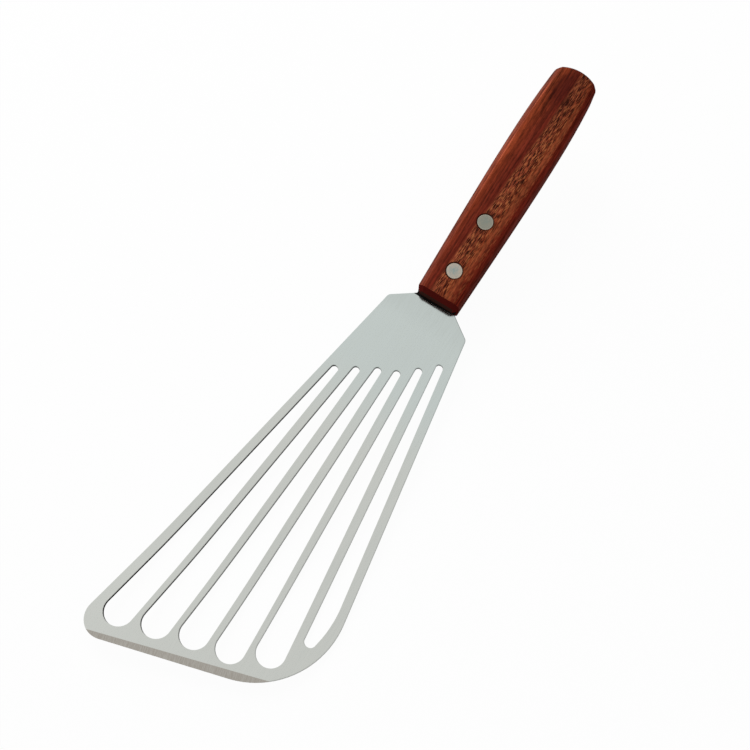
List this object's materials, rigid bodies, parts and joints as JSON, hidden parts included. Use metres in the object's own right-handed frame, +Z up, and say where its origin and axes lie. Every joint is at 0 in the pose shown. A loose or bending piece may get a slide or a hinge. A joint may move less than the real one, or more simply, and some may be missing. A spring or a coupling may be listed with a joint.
{
  "type": "fish spatula",
  "caption": "Fish spatula: thin, springy slotted steel blade with a slanted, bevelled front edge, riveted into a chamfered wooden handle.",
  "frame": {"origin": "on the table, under the middle of the spatula's box as it lies at rest", "axes": "+X from the handle's butt towards the blade's front edge, +Z up from the table, and +Y towards the blade's large round corner"},
  "size_m": [0.2848, 0.0787, 0.0379],
  "materials": {
    "blade_steel": "fine satin stainless sheet, with a brighter ground bevel along the front edge",
    "handle_wood": "reddish-brown open-pored hardwood, lightly oiled, satin",
    "rivet_metal": "flush sanded rivet heads, dull grey"
  },
  "bodies": {
    "root": {"blade": "blade_steel", "handle": "handle_wood", "front_rivet_pin": "rivet_metal", "front_rivet_socket": "rivet_metal", "rear_rivet_pin": "rivet_metal", "rear_rivet_socket": "rivet_metal"}
  },
  "joints": []
}
